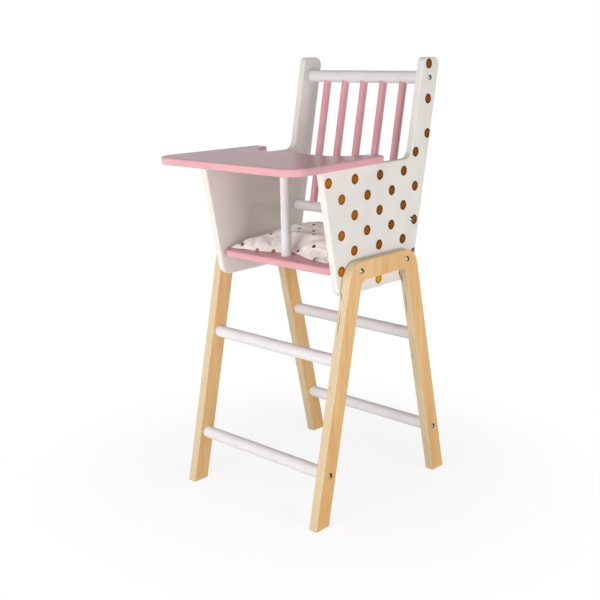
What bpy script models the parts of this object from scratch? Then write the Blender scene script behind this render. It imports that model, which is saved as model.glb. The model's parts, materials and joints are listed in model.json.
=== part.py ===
"""Doll high chair of painted and plain wood, built from its separate pieces.

Units are metres and +Z is up. The chair faces -Y. Left and right are as seen from
the front, so the right side is at +X. Heights are measured from the floor, and the
other places from the middle of the leg frames, which the origin shift then moves.
"""

import math

import bmesh
import bpy
from mathutils import Vector

# Driving dimensions
overall_width = 0.235           # over the outer faces of the two leg frames
seat_height = 0.316             # floor to the top of the seat board
arm_rise = 0.1196               # seat board to the underside of the tray
top_rail_rise = 0.0975          # underside of the tray to the top rail's axis
post_top_rise = 0.025           # top rail's axis to the rounded tops of the back posts
foot_spread = 0.267             # front foot to back foot, over the outside
ply_thickness = 0.0125          # leg frames
panel_thickness = 0.0094        # side panels
seat_thickness = 0.0093
tray_thickness = 0.0093
clearance = 0.0003              # gap between pieces that touch
cut_overrun = 0.002             # how far a cutter starts outside the wood
sharp = 0.0                     # radius of an outline corner that is not rounded

# Leg frames
frame_top_spread = 0.1262       # over the outer leg edges at the top of the frame
leg_width = 0.0242              # along the floor
crossbar_depth = 0.0242
frame_outer_radius = 0.025
frame_inner_radius = 0.011
frame_edge_radius = 0.0012
low_rung_height = 0.0668
high_rung_height = 0.2028
rung_diameter = 0.016
rung_edge_radius = 0.0008
tenon_diameter = 0.008
tenon_length = 0.008

# Side panels
panel_drop = 0.0304             # seat board's middle to the panel's lower edge
panel_front_at_arm = 0.1012     # reach in front of the middle, at the arm's top
panel_front_at_base = 0.0728
post_half_width = 0.0176        # back post, either side of the line through both rails
panel_low_radius = 0.0147
panel_front_top_radius = 0.003
arm_fillet_radius = 0.014
post_back_radius = 0.010
post_front_radius = 0.007
panel_edge_radius = 0.0018

# Rails and spindles of the back
top_rail_back = 0.1054          # behind the middle
low_rail_back = 0.0700
low_rail_rise = 0.0414          # top of the seat board to the low rail's axis
top_rail_diameter = 0.016
low_rail_diameter = 0.014
spindle_diameter = 0.0105
spindle_end_gap = 0.0307        # side panel's inner face to the nearest spindle's axis
spindle_count = 5
spindle_sink = 0.0045           # depth of a spindle's end in its rail

# Seat board
seat_front = 0.0748             # reach in front of the middle
seat_back = 0.0700
seat_front_radius = 0.0105
seat_edge_radius = 0.0026
tongue_depth = 0.0042           # how far the board's ends go into the panels
tongue_radius_share = 0.8       # of the tongue's depth, seen from above
groove_end_gap = 0.0036         # free length of the groove past each end of the tongue

# Front post and tray
front_post_reach = 0.0525
front_post_diameter = 0.0128
front_post_tenon_diameter = 0.008
front_post_tenon_length = 0.005
tray_front = 0.1640
tray_front_overhang = 0.0171    # past the panel's outer face, at the tray's front
tray_back_overhang = 0.0064     # the same at the ends of its ears
tray_ear_back = 0.0080
tray_ear_inset = 0.0053         # how far the ears' inner corners lie inside the panels
tray_front_radius = 0.026
tray_ear_radius = 0.005
tray_ear_inner_radius = 0.004
recess_front = 0.0355           # front of the belly recess, before the middle
recess_floor_half = 0.0715
recess_radius = 0.036
tray_edge_radius = 0.0022
pin_diameter = 0.005
pin_edge_radius = 0.0006
pin_depth_in_arm = 0.009
pin_depth_in_tray = 0.0055
pin_front_inset = 0.030         # front pin, behind the arm's front end
pin_back_inset = 0.022          # back pin, before the ear's end

# Screws
screw_head_diameter = 0.007
screw_head_height = 0.0019
screw_shank_diameter = 0.0034
screw_tip_length = 0.003
screw_tip_diameter = 0.0008
seat_screw_length = 0.040
rung_screw_length = 0.034
rail_screw_length = 0.030
seat_screw_offset = 0.0450      # front and back seat screws, from the middle
socket_width = 0.0025           # across the flats of the hexagon recess
socket_depth = 0.0010

# Cushion
cushion_side_gap = 0.0015
cushion_left_inset = 0.0110     # left front corner, behind the seat board's front edge
cushion_right_inset = 0.0200    # right front corner, which lies a little further back
cushion_post_gap = 0.0030
cushion_rail_gap = 0.0030
cushion_front_crown = 0.0260
cushion_back_crown = 0.0362
cushion_edge_height = 0.0060
cushion_seam_height = 0.0035
cushion_crease_depth = 0.0110
cushion_side_draw = 0.0030      # how far the sides are drawn in between the corners
cushion_post_dent = 0.028       # half width of the dent behind the front post
cushion_rim_inset = 0.0030      # upper and lower rims, inside the seam
cushion_across_power = 2.3      # the higher, the flatter the crown from side to side
cushion_along_power = 3.6
cushion_crease_place_share = -0.22  # of half the depth, behind the middle
cushion_crease_width_share = 0.22   # of half the depth
cushion_crease_reach_share = 0.45   # of half the width, where the crease fades
cushion_crease_end_share = 0.30     # of its depth that is left at the sides

# Places worked out from the sizes above
frame_outer_x = overall_width / 2
frame_inner_x = frame_outer_x - ply_thickness
panel_outer_x = frame_inner_x - clearance
panel_inner_x = panel_outer_x - panel_thickness
panel_mid_x = (panel_outer_x + panel_inner_x) / 2
seat_mid_height = seat_height - seat_thickness / 2
frame_height = seat_mid_height + crossbar_depth / 2
panel_base = seat_mid_height - panel_drop
arm_height = seat_height + arm_rise
arm_top = arm_height - clearance
top_rail_height = arm_height + top_rail_rise
low_rail_height = seat_height + low_rail_rise
post_top_height = top_rail_height + post_top_rise
leg_lean = (foot_spread - frame_top_spread) / 2 / frame_height
back_lean = (top_rail_back - low_rail_back) / (top_rail_height - low_rail_height)
back_angle = math.atan(back_lean)
rail_spacing = math.hypot(top_rail_back - low_rail_back, top_rail_height - low_rail_height)
panel_rake = (panel_front_at_arm - panel_front_at_base) / (arm_height - panel_base)
foot_reach = foot_spread / 2 - leg_lean * frame_edge_radius
origin_shift = (tray_front - foot_reach) / 2
tongue_front = seat_front - seat_front_radius - clearance
tongue_radius = tongue_depth * tongue_radius_share
cushion_bottom = seat_height + clearance

# Fineness of the round shapes
arc_step_angle = math.radians(15)
arc_side_share = 0.98           # of a side, at most, that the arcs at its ends take up
dowel_sides = 24
spindle_sides = 20
screw_sides = 16
bevel_angle = math.radians(40)
weld_distance = 0.00001
cushion_cuts = (9, 7, 1)        # loops across the width, the depth and the height

SIDES = {"left": -1, "right": 1}
ENDS = {"front": -1, "back": 1}


def linear(red, green, blue):
    """Linear colour of an sRGB colour given in parts of 255."""
    shares = []
    for value in (red, green, blue):
        share = value / 255
        shares.append(share / 12.92 if share <= 0.04045 else ((share + 0.055) / 1.055) ** 2.4)
    return (*shares, 1.0)


PLY = (linear(222, 178, 122), 0.55, 0.0)
WHITE_PAINT = (linear(236, 233, 228), 0.40, 0.0)
PINK_PAINT = (linear(226, 158, 172), 0.30, 0.0)
PLAIN_WOOD = (linear(214, 184, 140), 0.60, 0.0)
STEEL = (linear(190, 190, 188), 0.30, 1.0)
COTTON = (linear(238, 232, 224), 0.90, 0.0)


def material(name, finish):
    """Principled material of one piece."""
    colour, roughness, metallic = finish
    made = bpy.data.materials.new(name + "_finish")
    made.use_nodes = True
    shader = made.node_tree.nodes["Principled BSDF"]
    shader.inputs["Base Color"].default_value = colour
    shader.inputs["Roughness"].default_value = roughness
    shader.inputs["Metallic"].default_value = metallic
    return made


def back_line(height):
    """Distance behind the middle of the line through both rails, at a height."""
    return low_rail_back + back_lean * (height - low_rail_height)


def leg_edge(height):
    """Distance from the middle to a leg's outer edge, at a height."""
    return foot_spread / 2 - leg_lean * height


def leg_middle(height):
    """Distance from the middle to a leg's centre line, at a height."""
    return leg_edge(height) - leg_width / 2


def rounded_outline(corners):
    """Points of a closed outline whose corners are given as (u, v, radius).

    Where the arcs at both ends of a side would meet, both are made smaller.
    """
    count = len(corners)
    places = [Vector(corner[:2]) for corner in corners]
    sides = [places[(index + 1) % count] - places[index] for index in range(count)]
    half_angles = [(-sides[index - 1]).angle(sides[index]) / 2 for index in range(count)]
    reaches = [corner[2] / math.tan(half) for corner, half in zip(corners, half_angles)]
    for index, side in enumerate(sides):
        both = reaches[index] + reaches[(index + 1) % count]
        limit = min(1, side.length * arc_side_share / both) if both else 1
        reaches[index] *= limit
        reaches[(index + 1) % count] *= limit

    points = []
    for index, corner in enumerate(places):
        if reaches[index] == 0:
            points.append(corner)
            continue
        to_last = -sides[index - 1].normalized()
        to_next = sides[index].normalized()
        centre = corner + (to_last + to_next).normalized() * (reaches[index] / math.cos(half_angles[index]))
        first = corner + to_last * reaches[index] - centre
        last = corner + to_next * reaches[index] - centre
        steps = max(2, math.ceil(first.angle(last) / arc_step_angle))
        turn = math.atan2(first.cross(last), first.dot(last)) / steps
        for step in range(steps + 1):
            cosine, sine = math.cos(turn * step), math.sin(turn * step)
            offset = Vector((first.x * cosine - first.y * sine, first.x * sine + first.y * cosine))
            points.append(centre + offset)
    return points


def new_object(name, mesh, collection):
    """Object with the mesh, linked in the collection and carried by the chair's origin."""
    made = bpy.data.objects.new(name, mesh)
    collection.objects.link(made)
    made.parent = chair_origin
    return made


def make_cutter(made):
    """Mark an object as a cutter, which is no piece of the chair."""
    made.hide_render = True
    made.display_type = "WIRE"
    return made


def flat_solid(name, outline, thickness, collection):
    """Solid of an outline in its own XY plane, with half its thickness on each side."""
    curve = bpy.data.curves.new(name + "_outline", "CURVE")
    curve.dimensions = "2D"
    curve.fill_mode = "BOTH"
    curve.extrude = thickness / 2
    spline = curve.splines.new("POLY")
    spline.points.add(len(outline) - 1)
    for point, (u, v) in zip(spline.points, outline):
        point.co = (u, v, 0, 1)
    spline.use_cyclic_u = True
    shape = bpy.data.objects.new(name + "_outline", curve)
    collection.objects.link(shape)
    mesh = bpy.data.meshes.new_from_object(shape.evaluated_get(bpy.context.evaluated_depsgraph_get()))
    bpy.data.objects.remove(shape)
    cage = bmesh.new()
    cage.from_mesh(mesh)
    bmesh.ops.remove_doubles(cage, verts=cage.verts, dist=weld_distance)
    bmesh.ops.dissolve_limit(cage, angle_limit=math.radians(1), verts=cage.verts, edges=cage.edges)
    bmesh.ops.recalc_face_normals(cage, faces=cage.faces)
    cage.to_mesh(mesh)
    cage.free()
    mesh.name = name
    return new_object(name, mesh, collection)


def stand_on_side(piece, x):
    """Turn a flat solid so that its outline lies in the YZ plane, at x."""
    piece.location = (x, 0, 0)
    piece.rotation_euler = (math.radians(90), 0, math.radians(90))


def turned_solid(name, profile, sides, collection):
    """Solid turned round its own Z axis from (radius, height) points, listed from top to bottom."""
    mesh = bpy.data.meshes.new(name)
    line = bmesh.new()
    corners = [line.verts.new((radius, 0, height)) for radius, height in profile]
    for upper, lower in zip(corners, corners[1:]):
        line.edges.new((upper, lower))
    line.to_mesh(mesh)
    line.free()
    made = new_object(name, mesh, collection)
    turn = made.modifiers.new("turn", "SCREW")
    turn.steps = sides
    turn.render_steps = sides
    turn.use_merge_vertices = True
    turn.merge_threshold = weld_distance
    turn.use_smooth_shade = True
    return made


def dowel_profile(radius, length, edge_radius):
    """Half section of a plain dowel with chamfered ends."""
    half = length / 2
    return [
        (0, half),
        (radius - edge_radius, half),
        (radius, half - edge_radius),
        (radius, edge_radius - half),
        (radius - edge_radius, -half),
        (0, -half),
    ]


def tenoned_profile(radius, shoulder_length, tenon_radius, tenon_reach):
    """Half section of a dowel with a round tenon at each end."""
    half = shoulder_length / 2
    return [
        (0, half + tenon_reach),
        (tenon_radius, half + tenon_reach),
        (tenon_radius, half),
        (radius, half),
        (radius, -half),
        (tenon_radius, -half),
        (tenon_radius, -half - tenon_reach),
        (0, -half - tenon_reach),
    ]


def ease_edges(piece, width):
    """Round the piece's edges, but not the facets of its arcs."""
    bevel = piece.modifiers.new("eased edges", "BEVEL")
    bevel.width = width
    bevel.segments = 2
    bevel.limit_method = "ANGLE"
    bevel.angle_limit = bevel_angle
    bevel.use_clamp_overlap = False


def cut(piece, cutter):
    """Take the cutter's shape out of the piece."""
    boolean = piece.modifiers.new(cutter.name, "BOOLEAN")
    boolean.operation = "DIFFERENCE"
    boolean.solver = "EXACT"
    boolean.object = make_cutter(cutter)


def drill(piece, name, diameter, mouth, direction, depth, sides=spindle_sides):
    """Bore a round hole, flat at its end, from its mouth in a direction."""
    mesh = bpy.data.meshes.new(name)
    shape = bmesh.new()
    radius = diameter / 2
    bmesh.ops.create_cone(shape, cap_ends=True, segments=sides, radius1=radius, radius2=radius,
                          depth=depth + cut_overrun)
    shape.to_mesh(mesh)
    shape.free()
    cutter = new_object(name, mesh, cutters)
    along = Vector(direction).normalized()
    cutter.location = Vector(mouth) + along * ((depth - cut_overrun) / 2)
    cutter.rotation_euler = along.to_track_quat("Z", "X").to_euler()
    cut(piece, cutter)


def finish_piece(piece, finish):
    """Give the piece its own material, and smooth its round faces."""
    piece.data.materials.append(material(piece.name, finish))
    piece.data.shade_smooth()
    piece.data.set_sharp_from_angle(angle=bevel_angle)


def leg_frame(side_name):
    """One-piece plywood leg frame: two splayed legs and the crossbar that joins them."""
    side = SIDES[side_name]
    foot = leg_edge(0)
    corner = leg_edge(frame_height)
    crossbar_base = frame_height - crossbar_depth
    inner_corner = leg_edge(crossbar_base) - leg_width
    outline = rounded_outline([
        (-foot, 0, sharp),
        (-foot + leg_width, 0, sharp),
        (-inner_corner, crossbar_base, frame_inner_radius),
        (inner_corner, crossbar_base, frame_inner_radius),
        (foot - leg_width, 0, sharp),
        (foot, 0, sharp),
        (corner, frame_height, frame_outer_radius),
        (-corner, frame_height, frame_outer_radius),
    ])
    frame = flat_solid(side_name + "_leg_frame", outline, ply_thickness, chair)
    stand_on_side(frame, side * (frame_outer_x - ply_thickness / 2))
    ease_edges(frame, frame_edge_radius)
    inward = (-side, 0, 0)
    outward = (side, 0, 0)
    hole = screw_shank_diameter + 2 * clearance
    socket = tenon_diameter + 2 * clearance
    for end_name, end in ENDS.items():
        tag = side_name + "_" + end_name
        seat_hole = (side * frame_outer_x, end * seat_screw_offset, seat_mid_height)
        drill(frame, "frame_seat_hole_" + tag, hole, seat_hole, inward, ply_thickness + cut_overrun)
        rung_hole = (side * frame_outer_x, end * leg_middle(low_rung_height), low_rung_height)
        drill(frame, "frame_rung_hole_" + tag, hole, rung_hole, inward, ply_thickness + cut_overrun)
        rung_socket = (side * frame_inner_x, end * leg_middle(high_rung_height), high_rung_height)
        drill(frame, "frame_rung_socket_" + tag, socket, rung_socket, outward, tenon_length)
    finish_piece(frame, PLY)


def side_panel(side_name):
    """Painted side panel: seat side, arm and back post in one board."""
    side = SIDES[side_name]
    post_front_top = back_line(post_top_height) - post_half_width
    post_back_top = back_line(post_top_height) + post_half_width
    outline = rounded_outline([
        (-panel_front_at_base, panel_base, panel_low_radius),
        (back_line(panel_base) + post_half_width, panel_base, panel_low_radius),
        (post_back_top, post_top_height, post_back_radius),
        (post_front_top, post_top_height, post_front_radius),
        (back_line(arm_top) - post_half_width, arm_top, arm_fillet_radius),
        (-panel_front_at_arm, arm_top, panel_front_top_radius),
    ])
    panel = flat_solid(side_name + "_side_panel", outline, panel_thickness, chair)
    stand_on_side(panel, side * panel_mid_x)
    ease_edges(panel, panel_edge_radius)

    groove_radius = seat_thickness / 2 + clearance
    groove_front = -tongue_front - groove_end_gap
    groove_back = seat_back + groove_end_gap
    groove_outline = rounded_outline([
        (groove_front, seat_mid_height - groove_radius, groove_radius),
        (groove_back, seat_mid_height - groove_radius, groove_radius),
        (groove_back, seat_mid_height + groove_radius, groove_radius),
        (groove_front, seat_mid_height + groove_radius, groove_radius),
    ])
    groove = flat_solid("panel_seat_groove_" + side_name, groove_outline,
                        tongue_depth + clearance + cut_overrun, cutters)
    stand_on_side(groove, side * (panel_inner_x + (tongue_depth + clearance - cut_overrun) / 2))
    cut(panel, groove)

    inward = (-side, 0, 0)
    hole = screw_shank_diameter + 2 * clearance
    through = panel_thickness + cut_overrun
    for end_name, end in ENDS.items():
        mouth = (side * panel_outer_x, end * seat_screw_offset, seat_mid_height)
        drill(panel, "panel_seat_hole_" + side_name + "_" + end_name, hole, mouth, inward, through)
    top_mouth = (side * panel_outer_x, top_rail_back, top_rail_height)
    drill(panel, "panel_top_rail_hole_" + side_name, hole, top_mouth, inward, through)
    low_mouth = (side * panel_outer_x, low_rail_back, low_rail_height)
    drill(panel, "panel_low_rail_hole_" + side_name, hole, low_mouth, inward, through)
    for end_name, y in pin_places().items():
        mouth = (side * panel_mid_x, y, arm_top)
        drill(panel, "panel_pin_hole_" + side_name + "_" + end_name, pin_diameter + 2 * clearance,
              mouth, (0, 0, -1), pin_depth_in_arm)
    finish_piece(panel, WHITE_PAINT)


def pin_places():
    """Front and back places of the tray's dowel pins along an arm."""
    return {"front": -panel_front_at_arm + pin_front_inset, "back": tray_ear_back - pin_back_inset}


def seat_board():
    """Painted seat board, whose ends are let into the side panels."""
    half_gap = panel_inner_x - clearance
    tongue_end = panel_inner_x + tongue_depth
    right_half = [
        (half_gap, -seat_front, seat_front_radius),
        (half_gap, -tongue_front, sharp),
        (tongue_end, -tongue_front + clearance, tongue_radius),
        (tongue_end, seat_back, tongue_radius),
    ]
    left_half = [(-x, y, radius) for x, y, radius in reversed(right_half)]
    board = flat_solid("seat_board", rounded_outline(right_half + left_half), seat_thickness, chair)
    board.location = (0, 0, seat_mid_height)
    ease_edges(board, seat_edge_radius)
    for side_name, side in SIDES.items():
        depth = seat_screw_length - (frame_outer_x - tongue_end) + 2 * clearance
        for end_name, end in ENDS.items():
            mouth = (side * tongue_end, end * seat_screw_offset, seat_mid_height)
            drill(board, "seat_screw_hole_" + side_name + "_" + end_name,
                  screw_shank_diameter + 2 * clearance, mouth, (-side, 0, 0), depth)
    drill(board, "seat_post_socket", front_post_tenon_diameter + 2 * clearance,
          (0, -front_post_reach, seat_height), (0, 0, -1), front_post_tenon_length)
    finish_piece(board, PINK_PAINT)


def tray():
    """Painted tray with a belly recess, on pins in the arms and on the front post."""
    front_half = panel_outer_x + tray_front_overhang
    back_half = panel_outer_x + tray_back_overhang
    right_half = [
        (front_half, -tray_front, tray_front_radius),
        (back_half, tray_ear_back, tray_ear_radius),
        (panel_inner_x - tray_ear_inset, tray_ear_back, tray_ear_inner_radius),
        (recess_floor_half, -recess_front, recess_radius),
    ]
    left_half = [(-x, y, radius) for x, y, radius in reversed(right_half)]
    board = flat_solid("tray", rounded_outline(right_half + left_half), tray_thickness, chair)
    board.location = (0, 0, arm_height + tray_thickness / 2)
    ease_edges(board, tray_edge_radius)
    for side_name, side in SIDES.items():
        for end_name, y in pin_places().items():
            drill(board, "tray_pin_hole_" + side_name + "_" + end_name, pin_diameter + 2 * clearance,
                  (side * panel_mid_x, y, arm_height), (0, 0, 1), pin_depth_in_tray)
    drill(board, "tray_post_socket", front_post_tenon_diameter + 2 * clearance,
          (0, -front_post_reach, arm_height), (0, 0, 1), front_post_tenon_length)
    finish_piece(board, PINK_PAINT)


def tray_pins():
    """Dowel pins between the arms and the tray."""
    length = pin_depth_in_arm + pin_depth_in_tray - clearance
    middle = arm_height + (pin_depth_in_tray - pin_depth_in_arm - clearance) / 2
    profile = dowel_profile(pin_diameter / 2, length, pin_edge_radius)
    for side_name, side in SIDES.items():
        for end_name, y in pin_places().items():
            pin = turned_solid("tray_pin_" + side_name + "_" + end_name, profile, screw_sides, chair)
            pin.location = (side * panel_mid_x, y, middle)
            finish_piece(pin, PLAIN_WOOD)


def front_post():
    """Upright dowel between the seat board and the tray, which keeps a doll in."""
    shoulder = arm_height - seat_height - 2 * clearance
    profile = tenoned_profile(front_post_diameter / 2, shoulder,
                              front_post_tenon_diameter / 2, front_post_tenon_length)
    post = turned_solid("front_post", profile, dowel_sides, chair)
    post.location = (0, -front_post_reach, (arm_height + seat_height) / 2)
    finish_piece(post, WHITE_PAINT)


def high_rungs():
    """Upper rungs, glued by their tenons into the leg frames."""
    shoulder = 2 * (frame_inner_x - clearance)
    profile = tenoned_profile(rung_diameter / 2, shoulder, tenon_diameter / 2, tenon_length)
    for end_name, end in ENDS.items():
        rung = turned_solid(end_name + "_upper_rung", profile, dowel_sides, chair)
        rung.location = (0, end * leg_middle(high_rung_height), high_rung_height)
        rung.rotation_euler = (0, math.radians(90), 0)
        finish_piece(rung, WHITE_PAINT)


def low_rungs():
    """Lower rungs, held by a screw through each leg frame."""
    length = 2 * (frame_inner_x - clearance)
    profile = dowel_profile(rung_diameter / 2, length, rung_edge_radius)
    depth = rung_screw_length - ply_thickness + 2 * clearance
    for end_name, end in ENDS.items():
        place = (0, end * leg_middle(low_rung_height), low_rung_height)
        rung = turned_solid(end_name + "_lower_rung", profile, dowel_sides, chair)
        rung.location = place
        rung.rotation_euler = (0, math.radians(90), 0)
        for side_name, side in SIDES.items():
            mouth = (side * length / 2, place[1], place[2])
            drill(rung, "rung_screw_hole_" + side_name + "_" + end_name,
                  screw_shank_diameter + 2 * clearance, mouth, (-side, 0, 0), depth, screw_sides)
        finish_piece(rung, WHITE_PAINT)


def spindle_places():
    """Sideways places of the back's spindles."""
    outermost = panel_inner_x - spindle_end_gap
    pitch = 2 * outermost / (spindle_count - 1)
    return [index * pitch - outermost for index in range(spindle_count)]


def back_rail(name, diameter, back, height, way):
    """Round rail between the side panels, bored for the spindles on one side."""
    length = 2 * (panel_inner_x - clearance)
    rail = turned_solid(name, dowel_profile(diameter / 2, length, rung_edge_radius), dowel_sides, chair)
    rail.location = (0, back, height)
    rail.rotation_euler = (0, math.radians(90), 0)
    depth = rail_screw_length - panel_thickness + 2 * clearance
    for side_name, side in SIDES.items():
        drill(rail, name + "_screw_hole_" + side_name, screw_shank_diameter + 2 * clearance,
              (side * length / 2, back, height), (-side, 0, 0), depth, screw_sides)
    along = Vector((0, way * math.sin(back_angle), way * math.cos(back_angle)))
    for number, x in enumerate(spindle_places(), start=1):
        bottom = Vector((x, back, height)) + along * (diameter / 2 - spindle_sink - clearance)
        drill(rail, f"{name}_spindle_hole_{number}", spindle_diameter + 2 * clearance,
              bottom + along * diameter, -along, diameter)
    finish_piece(rail, WHITE_PAINT)


def back_spindles():
    """Round spindles between the low rail and the top rail."""
    low_end = low_rail_diameter / 2 - spindle_sink
    high_end = rail_spacing - top_rail_diameter / 2 + spindle_sink
    profile = dowel_profile(spindle_diameter / 2, high_end - low_end, rung_edge_radius)
    middle = (low_end + high_end) / 2
    for number, x in enumerate(spindle_places(), start=1):
        spindle = turned_solid(f"back_spindle_{number}", profile, spindle_sides, chair)
        spindle.location = (x, low_rail_back + middle * math.sin(back_angle),
                            low_rail_height + middle * math.cos(back_angle))
        spindle.rotation_euler = (-back_angle, 0, 0)
        finish_piece(spindle, PINK_PAINT)


def screw(name, length, side, face_x, y, z):
    """Round-headed screw with a hexagon recess, its head on the outer face of a side."""
    head = screw_head_diameter / 2
    shank = screw_shank_diameter / 2
    crown_shares = (0, 0.42, 0.72, 0.92, 1)
    dome = [(head * share, screw_head_height * math.sqrt(1 - share * share) + clearance)
            for share in crown_shares]
    profile = dome + [
        (shank, clearance),
        (shank, screw_tip_length - length),
        (screw_tip_diameter / 2, -length),
        (0, -length),
    ]
    made = turned_solid(name, profile, screw_sides, chair)
    made.location = (side * face_x, y, z)
    made.rotation_euler = (0, side * math.radians(90), 0)
    top = face_x + screw_head_height + clearance
    drill(made, name + "_socket", socket_width / math.cos(math.radians(30)),
          (side * top, y, z), (-side, 0, 0), socket_depth, sides=6)
    finish_piece(made, STEEL)


def screws():
    """All screws: through frames and panels into the seat board, the rungs and the rails."""
    for side_name, side in SIDES.items():
        for end_name, end in ENDS.items():
            tag = side_name + "_" + end_name
            screw("seat_screw_" + tag, seat_screw_length, side, frame_outer_x,
                  end * seat_screw_offset, seat_mid_height)
            screw("rung_screw_" + tag, rung_screw_length, side, frame_outer_x,
                  end * leg_middle(low_rung_height), low_rung_height)
        screw("top_rail_screw_" + side_name, rail_screw_length, side, panel_outer_x,
              top_rail_back, top_rail_height)
        screw("low_rail_screw_" + side_name, rail_screw_length, side, panel_outer_x,
              low_rail_back, low_rail_height)


def bump(value, centre, width):
    """Smooth hump of height 1 at the centre."""
    return math.exp(-((value - centre) / width) ** 2)


def seat_cushion():
    """Loose stuffed cushion: crowned, with drawn-in sides and a crease behind the post."""
    half_width = panel_inner_x - cushion_side_gap
    left_front = -seat_front + cushion_left_inset
    right_front = -seat_front + cushion_right_inset
    post_side = -front_post_reach + front_post_diameter / 2 + cushion_post_gap
    back = low_rail_back - low_rail_diameter / 2 - cushion_rail_gap
    edge_share = cushion_edge_height / cushion_back_crown

    cage = bmesh.new()
    bmesh.ops.create_cube(cage, size=2)
    for axis, cuts in enumerate(cushion_cuts):
        along = [edge for edge in cage.edges
                 if abs(edge.verts[0].co[axis] - edge.verts[1].co[axis]) > 1]
        bmesh.ops.subdivide_edges(cage, edges=along, cuts=cuts, use_grid_fill=True)
    for vertex in cage.verts:
        u, v, w = vertex.co
        level = round(w)
        on_side = round(abs(u), 3) == 1
        on_end = round(abs(v), 3) == 1
        right_share = (1 + u) / 2
        back_share = (1 + v) / 2
        x = half_width * u
        front = left_front + (right_front - left_front) * right_share
        front += (post_side - front) * bump(x, 0, cushion_post_dent)
        y = front + (back - front) * back_share
        x -= cushion_side_draw * u * (1 - v * v)
        y -= cushion_side_draw * v * (1 - u * u) * (1 - back_share)
        if level == 0:
            z = cushion_seam_height
        elif level < 0:
            z = 0
        else:
            crown = cushion_front_crown + (cushion_back_crown - cushion_front_crown) * back_share
            dome_share = (1 - abs(u) ** cushion_across_power) * (1 - abs(v) ** cushion_along_power)
            z = crown * (edge_share + (1 - edge_share) * dome_share)
            across_share = bump(u, 0, cushion_crease_reach_share)
            crease_share = cushion_crease_end_share + (1 - cushion_crease_end_share) * across_share
            crease_share *= bump(v, cushion_crease_place_share, cushion_crease_width_share)
            z -= cushion_crease_depth * crease_share * dome_share
        if level and on_side:
            x -= cushion_rim_inset * u
        if level and on_end:
            y -= cushion_rim_inset * v
        vertex.co = (x, y, z)
    bmesh.ops.recalc_face_normals(cage, faces=cage.faces)
    mesh = bpy.data.meshes.new("seat_cushion")
    cage.to_mesh(mesh)
    cage.free()
    cushion = new_object("seat_cushion", mesh, chair)
    cushion.location = (0, 0, cushion_bottom)
    smooth = cushion.modifiers.new("stuffing", "SUBSURF")
    smooth.levels = 1
    smooth.render_levels = 1
    finish_piece(cushion, COTTON)


for old in list(bpy.data.objects):
    bpy.data.objects.remove(old)
chair = bpy.data.collections.new("doll_high_chair")
cutters = bpy.data.collections.new("cutters")
bpy.context.scene.collection.children.link(chair)
bpy.context.scene.collection.children.link(cutters)
chair_origin = bpy.data.objects.new("chair_origin", None)
chair.objects.link(chair_origin)
chair_origin.location = (0, origin_shift, 0)

for name_of_side in SIDES:
    leg_frame(name_of_side)
    side_panel(name_of_side)
seat_board()
tray()
tray_pins()
front_post()
high_rungs()
low_rungs()
back_rail("top_rail", top_rail_diameter, top_rail_back, top_rail_height, -1)
back_rail("low_rail", low_rail_diameter, low_rail_back, low_rail_height, 1)
back_spindles()
screws()
seat_cushion()
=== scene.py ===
"""Looks of the doll high chair: paints, plywood, screws and the stuffed cushion."""

import json
import math

import bmesh
import bpy
from mathutils import Matrix, Vector
from mathutils.geometry import intersect_point_line
from mathutils.noise import noise as noise_of


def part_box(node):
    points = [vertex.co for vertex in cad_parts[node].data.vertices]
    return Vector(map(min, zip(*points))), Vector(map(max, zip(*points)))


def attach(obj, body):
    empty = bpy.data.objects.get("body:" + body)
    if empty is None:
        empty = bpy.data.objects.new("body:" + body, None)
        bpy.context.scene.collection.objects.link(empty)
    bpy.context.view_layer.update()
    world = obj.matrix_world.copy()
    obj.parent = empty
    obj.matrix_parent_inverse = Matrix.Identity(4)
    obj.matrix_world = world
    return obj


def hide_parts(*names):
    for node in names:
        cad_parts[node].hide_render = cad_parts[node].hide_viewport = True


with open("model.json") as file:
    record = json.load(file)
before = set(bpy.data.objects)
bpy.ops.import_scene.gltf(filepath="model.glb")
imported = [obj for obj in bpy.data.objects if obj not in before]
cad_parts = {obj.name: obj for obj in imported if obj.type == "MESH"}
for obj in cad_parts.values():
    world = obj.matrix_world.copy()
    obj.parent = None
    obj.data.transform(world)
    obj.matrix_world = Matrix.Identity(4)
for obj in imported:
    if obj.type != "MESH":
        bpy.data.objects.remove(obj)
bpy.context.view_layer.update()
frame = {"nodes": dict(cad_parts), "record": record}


def srgb(red, green, blue):
    """Linear colour of an sRGB colour given in parts of 255."""
    shares = []
    for value in (red, green, blue):
        share = value / 255
        shares.append(share / 12.92 if share <= 0.04045 else ((share + 0.055) / 1.055) ** 2.4)
    return (*shares, 1.0)


# Camera
camera_place = (0.8539, -0.9274, 0.5780)
camera_yaw = math.radians(43.062)
camera_pitch = math.radians(14.555)
camera_roll = math.radians(-1.043)
camera_sensor = 36              # width, and the lens's length, in millimetres
camera_lens = 59.39
camera_near, camera_far = 0.01, 50

# Light
white = (1, 1, 1, 1)
ambient_strength = 0.06
lamps = {
    # name: (power, place, width, height)
    "front_lamp": (7.3, (0.10, -1.20, 0.42), 0.7, 0.5),
    "front_left_lamp": (3.9, (-0.80, -1.20, 0.42), 0.7, 0.5),
    "left_lamp": (3.0, (-1.75, -0.50, 0.45), 1.0, 0.8),
    "right_lamp": (9.1, (1.42, -0.12, 0.36), 0.8, 0.6),
    "back_lamp": (3.2, (1.20, 1.40, 0.40), 1.0, 0.6),
    "behind_lamp": (4.4, (0.15, 1.75, 0.35), 1.2, 0.6),
    "high_lamp": (5.2, (0.30, -1.60, 1.60), 1.0, 1.0),
    "top_lamp": (4.2, (0.0, 0.0, 2.0), 1.2, 1.2),
}
light_aim = (0.0, 0.0, 0.32)

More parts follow.
